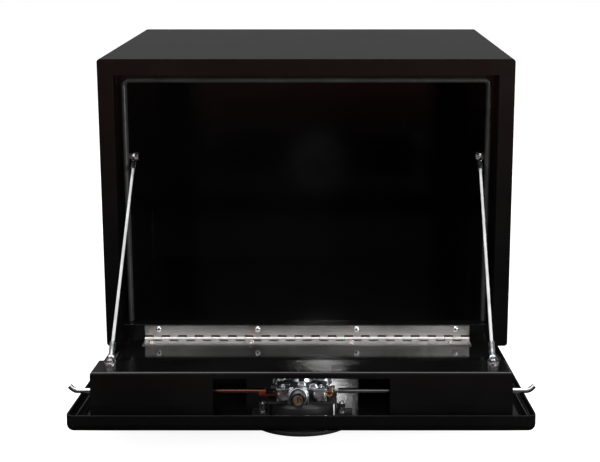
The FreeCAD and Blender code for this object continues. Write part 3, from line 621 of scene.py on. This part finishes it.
def solid_boxes(name):
    """Each separate solid of a node as a pair of corners, from left to right."""
    bm = bmesh.new()
    bm.from_mesh(nodes[name].data)
    bmesh.ops.remove_doubles(bm, verts=bm.verts, dist=1e-6)
    left = set(bm.verts)
    boxes = []
    while left:
        island = {left.pop()}
        edge = list(island)
        while edge:
            vert = edge.pop()
            for link in vert.link_edges:
                other = link.other_vert(vert)
                if other in left:
                    left.remove(other)
                    island.add(other)
                    edge.append(other)
        low = Vector(min(vert.co[i] for vert in island) for i in range(3))
        high = Vector(max(vert.co[i] for vert in island) for i in range(3))
        boxes.append((low, high))
    bm.free()
    return sorted(boxes, key=lambda pair: pair[0].x)


# Latch

def block(x0, x1, u0, u1, v0, v1):
    """A cuboid on the door, between pairs of closed-door coordinates."""
    bpy.ops.mesh.primitive_cube_add(size=1)
    item = bpy.context.object
    middle = Vector(((x0 + x1) / 2, front + (v0 + v1) / 2, hinge_at.z + (u0 + u1) / 2))
    size = Vector((x1 - x0, v1 - v0, u1 - u0))
    item.matrix_world = door_turn @ Matrix.LocRotScale(middle, None, size)
    return item


def drum(x, u, v, axis, radius, length, far_radius=None):
    """A cylinder or cone on the door, from a point along a closed-door axis."""
    bpy.ops.mesh.primitive_cone_add(
        vertices=40, radius1=radius, radius2=far_radius or radius, depth=length
    )
    item = bpy.context.object
    item.matrix_world = door_frame(x, u, v, axis) @ Matrix.Translation((0, 0, length / 2))
    return item


def casting_parts():
    """The bridge's plate and feet, its bosses, hub and ribs, and the collar that carries the lock."""
    low = latch_u - bracket_half_height
    high = latch_u + bracket_half_height
    top = cast_top_v
    under = top - cast_sheet
    front_u = high + collar_front
    collar_u = front_u - 0.003
    parts = [block(-cast_half, cast_half, low + 0.001, front_u, under, top)]
    for side in (-1, 1):
        x0, x1 = sorted((side * (cast_half - 0.012), side * cast_half))
        parts += [
            block(x0, x1, low + 0.001, low + 0.0055, leg_foot_v, top),
            block(x0, x1, high - 0.005, high - 0.0005, leg_foot_v, top),
            drum(side * 0.0255, latch_u, under, (0, 1, 0), 0.0115, 0.0090, 0.0085),
            drum(side * 0.0215, high - 0.0045, 0.0355, (0, 0, 1), 0.0085, 0.0078, 0.0070),
        ]
    # Hub over the spindle, two lobes at the front edge, two crossed ribs
    parts += [
        drum(0, latch_u, under, (0, 1, 0), 0.0165, 0.0125, 0.0130),
        drum(0, latch_u, under + 0.010, (0, 1, 0), 0.0070, 0.0040, 0.0060),
        drum(0, high - 0.006, 0.0475, (0, 0, 1), 0.0050, 0.0070),
        drum(0.0140, high - 0.006, 0.0450, (0, 0, 1), 0.0058, 0.0080, 0.0050),
        block(-0.0030, 0.0030, latch_u + 0.010, high, top - 0.001, top + 0.0055),
        block(-0.0265, 0.0265, latch_u - 0.0028, latch_u + 0.0028, top - 0.001, top + 0.0035),
    ]
    # Collar
    plate_foot = leg_foot_v - 0.0020
    parts += [
        drum(lock_x, collar_u, lock_v, (0, 0, 1), collar_half, 0.0030),
        block(lock_x - collar_half, lock_x + collar_half, collar_u, front_u, plate_foot, lock_v),
        block(lock_x - 0.0100, lock_x + 0.0100, high - 0.006, front_u, lock_v + 0.006, top + 0.002),
        drum(lock_x, collar_u, lock_v, (0, 0, 1), 0.0118, 0.0065, 0.0112),
    ]
    return parts


def casting(finishes):
    """The cast bridge over the cam, its parts melted together, softened and bored for the lock."""
    cast = joined(casting_parts())
    melt = cast.modifiers.new("melt", "REMESH")
    melt.mode = "VOXEL"
    melt.voxel_size = cast_voxel
    bpy.ops.object.modifier_apply(modifier="melt")
    soften = cast.modifiers.new("soften", "SMOOTH")
    soften.iterations = 5
    soften.factor = 0.5
    bpy.ops.object.modifier_apply(modifier="soften")
    mouth_u = latch_u + bracket_half_height + collar_front + 0.0002
    bore = turned(bore_profile, door_frame(lock_x, mouth_u, lock_v, (0, 0, 1)), 48)
    drill = cast.modifiers.new("drill", "BOOLEAN")
    drill.operation = "DIFFERENCE"
    drill.object = bore
    activate(cast)
    bpy.ops.object.modifier_apply(modifier="drill")
    bpy.data.objects.remove(bore, do_unlink=True)
    piece("latch_casting", [cast], finishes["cast_zinc"], "door", 50)
    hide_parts("latch_housing")


def coil(x, u, v, axis, radius, gauge, turns, length, legs=0.0):
    """A coil spring about an axis, with straight legs."""
    at = door_frame(x, u, v, axis)
    points = []
    steps = 14
    for k in range(int(turns * steps) + 1):
        turn = 2 * math.pi * k / steps
        rise = length * k / (turns * steps)
        points.append(at @ Vector((radius * math.cos(turn), radius * math.sin(turn), rise)))
    if legs:
        points.insert(0, points[0] + (points[0] - points[1]).normalized() * legs)
        points.append(points[-1] + (points[-1] - points[-2]).normalized() * legs)
    return wire(points, gauge)


def latch_fittings(finishes):
    """Two springs about the casting, and the screws that hold it."""
    zinc = finishes["zinc_plate"]
    top = cast_top_v
    front_u = latch_u + bracket_half_height
    bronze = coil(0.0335, front_u - 0.0065, 0.0375, (0, 0, 1), 0.0040, 0.00055, 5, 0.0065, 0.004)
    piece("latch_spring_bronze", [bronze], finishes["spring_bronze"], "door")
    steel = coil(-0.0100, latch_u + 0.0005, top + 0.0090, (-1, 0, 0), 0.0030, 0.00045, 7, 0.0085)
    piece("latch_spring_steel", [steel], zinc, "door")
    for k, (x, rise) in enumerate(bridge_screw_places):
        at = door_frame(x, latch_u + rise, top - 0.0002, (0, 1, 0))
        screw = [turned(screw_washer_profile, at, 28), turned(screw_head_profile, at, 28)]
        piece("bridge_screw_%d" % (k + 1), screw, zinc, "door")


def dish_rim(finishes):
    """The rolled rim that stands round the pressed dish, as wide as the door's edge allows."""
    at = door_frame(turn_joint["pos_m"][0], latch_u, 0.0, (0, -1, 0))
    rim = turned(rim_profile, at, 96, hollow=True)
    piece("dish_rolled_rim", [rim], finishes["dish_black"], "door")


def lock_details(finishes):
    """Fine threads round the barrel."""
    seat = latch_u + bracket_half_height + collar_front
    profile = [(thread_root, thread_foot - 0.0002)]
    for k in range(lock_threads):
        at = thread_foot + k * lock_thread_pitch
        profile.append((thread_root, at))
        profile.append((thread_crest, at + lock_thread_pitch / 2))
    profile.append((thread_root, thread_foot + lock_threads * lock_thread_pitch))
    sleeve = turned(profile, door_frame(lock_x, seat, lock_v, (0, 0, 1)), 48)
    piece("lock_threads", [sleeve], finishes["lock_black"], "door", 20)


# Stage

def seen_or_lit(tree, seen, lit):
    """One shader for the camera and another for every other ray."""
    rays = add(tree, "ShaderNodeLightPath")
    mix = add(tree, "ShaderNodeMixShader")
    tree.links.new(rays.outputs["Is Camera Ray"], mix.inputs["Fac"])
    tree.links.new(lit, mix.inputs[1])
    tree.links.new(seen, mix.inputs[2])
    return mix.outputs["Shader"]


def make_floor():
    """The camera sees a white floor with a soft shadow; every other ray sees the floor glow as a painted
    reflection, dark round the box and brighter further off, warm in front and pale grey elsewhere.
    """
    clear_selection()
    bpy.ops.mesh.primitive_plane_add(size=14, location=(0, 0, -floor_gap))
    floor = bpy.context.object
    material, tree, shader = new_material("studio_floor")
    white = add(tree, "ShaderNodeEmission", Strength=floor_own_white)
    shaded = add(tree, "ShaderNodeBsdfDiffuse", Color=(0.7, 0.7, 0.7, 1))
    seen = add(tree, "ShaderNodeAddShader")
    tree.links.new(white.outputs["Emission"], seen.inputs[0])
    tree.links.new(shaded.outputs["BSDF"], seen.inputs[1])
    coordinates = add(tree, "ShaderNodeTexCoord")
    axes = add(tree, "ShaderNodeSeparateXYZ")
    tree.links.new(coordinates.outputs["Object"], axes.inputs["Vector"])
    reach = add(tree, "ShaderNodeVectorMath", operation="LENGTH")
    tree.links.new(coordinates.outputs["Object"], reach.inputs[0])
    aside = spread(tree, axes.outputs["Y"], 0.0, 1.0, -1.4, -0.5)
    nearer = add(tree, "ShaderNodeMath", operation="MULTIPLY_ADD")
    tree.links.new(aside, nearer.inputs[0])
    nearer.inputs[1].default_value = floor_glow_nearer
    tree.links.new(reach.outputs["Value"], nearer.inputs[2])
    distance = spread(tree, nearer.outputs["Value"], 0.0, 1.0, floor_glow_near, floor_glow_far)
    # Painted reflection: the glow's tint is dim and warm in front and pale grey to the sides and behind, for the
    # gloss to mirror.
    painted_reflection_tone = two_tones(tree, aside, (0.20, 0.085, 0.07), (0.60, 0.56, 0.52), 0.0, 1.0)
    glow = add(tree, "ShaderNodeEmission", Strength=1.0)
    tree.links.new(painted_reflection_tone, glow.inputs["Color"])
    tree.links.new(distance, glow.inputs["Strength"])
    surface = seen_or_lit(tree, seen.outputs["Shader"], glow.outputs["Emission"])
    tree.links.new(surface, tree.nodes["Material Output"].inputs["Surface"])
    tree.nodes.remove(shader)
    finish_piece(floor, "floor", material)


def make_world():
    """White behind the box, and a dim grey room in its gloss."""
    world = bpy.data.worlds.new("studio")
    bpy.context.scene.world = world
    world.use_nodes = True
    tree = world.node_tree
    seen = tree.nodes["Background"]
    seen.inputs["Color"].default_value = (1, 1, 1, 1)
    coordinates = add(tree, "ShaderNodeTexCoord")
    axes = add(tree, "ShaderNodeSeparateXYZ")
    tree.links.new(coordinates.outputs["Generated"], axes.inputs["Vector"])
    room_tone = two_tones(tree, axes.outputs["Z"], (0.10, 0.10, 0.10), (0.30, 0.30, 0.30), 0.05, 0.9)
    room = add(tree, "ShaderNodeBackground", Strength=1.0)
    tree.links.new(room_tone, room.inputs["Color"])
    surface = seen_or_lit(tree, seen.outputs["Background"], room.outputs["Background"])
    tree.links.new(surface, tree.nodes["World Output"].inputs["Surface"])


def area_light(name, location, target, size, power):
    """A rectangular soft box that faces a target."""
    lamp = bpy.data.lights.new(name, "AREA")
    lamp.shape = "RECTANGLE"
    lamp.size = size[0]
    lamp.size_y = size[1]
    lamp.energy = power
    item = bpy.data.objects.new(name, lamp)
    bpy.context.scene.collection.objects.link(item)
    item.location = location
    aim = Vector(target) - Vector(location)
    item.rotation_euler = aim.to_track_quat("-Z", "Y").to_euler()


def inner_glow():
    """A narrow beam that leaves a soft pool on the back panel."""
    lamp = bpy.data.lights.new("inner_glow", "SPOT")
    lamp.energy = 70
    lamp.spot_size = math.radians(4)
    lamp.spot_blend = 1.0
    lamp.shadow_soft_size = 0.02
    item = bpy.data.objects.new("inner_glow", lamp)
    bpy.context.scene.collection.objects.link(item)
    item.location = (0.03, front - camera_distance, 0.6)
    aim = Vector((0.017, cabinet_high.y, 0.185)) - item.location
    item.rotation_euler = aim.to_track_quat("-Z", "Y").to_euler()


def make_lights():
    """Soft boxes overhead and to both sides, and a low fill for the latch."""
    area_light("overhead_soft", (0.0, -0.5, 2.4), (0, -0.3, 0.2), (2.4, 1.2), 44)
    area_light("front_left", (-1.6, -2.0, 1.5), (0, -0.3, 0.2), (2.2, 2.6), 28)
    area_light("front_right", (1.7, -1.8, 1.4), (0, -0.3, 0.2), (2.2, 2.6), 24)
    area_light("latch_fill", (0.95, -1.35, 0.30), (0, -0.6, 0.07), (0.30, 0.20), 9)
    inner_glow()


def make_camera():
    """A camera that looks a little down, with a small lens shift for the uprights."""
    data = bpy.data.cameras.new("camera")
    data.sensor_width = 36.0
    data.lens = focal_px / frame_width * data.sensor_width
    data.shift_x = (frame_width / 2 - axis_px.x) / frame_width
    data.shift_y = (axis_px.y - frame_height / 2) / frame_width
    item = bpy.data.objects.new("camera", data)
    bpy.context.scene.collection.objects.link(item)
    item.location = (camera_x, front - camera_distance, camera_height)
    item.rotation_euler = (math.pi / 2 - camera_tilt, 0, 0)
    bpy.context.scene.camera = item


bpy.context.scene.view_settings.view_transform = "Standard"
finishes = make_materials()
dress_nodes(finishes)
make_camera()
make_world()
make_lights()
make_floor()
for side in (-1, 1):
    stay_cable(side, finishes["cable_coat"])
hinge_leaves(finishes)
hinge_fasteners(finishes)
casting(finishes)
latch_fittings(finishes)
lock_details(finishes)
dish_rim(finishes)
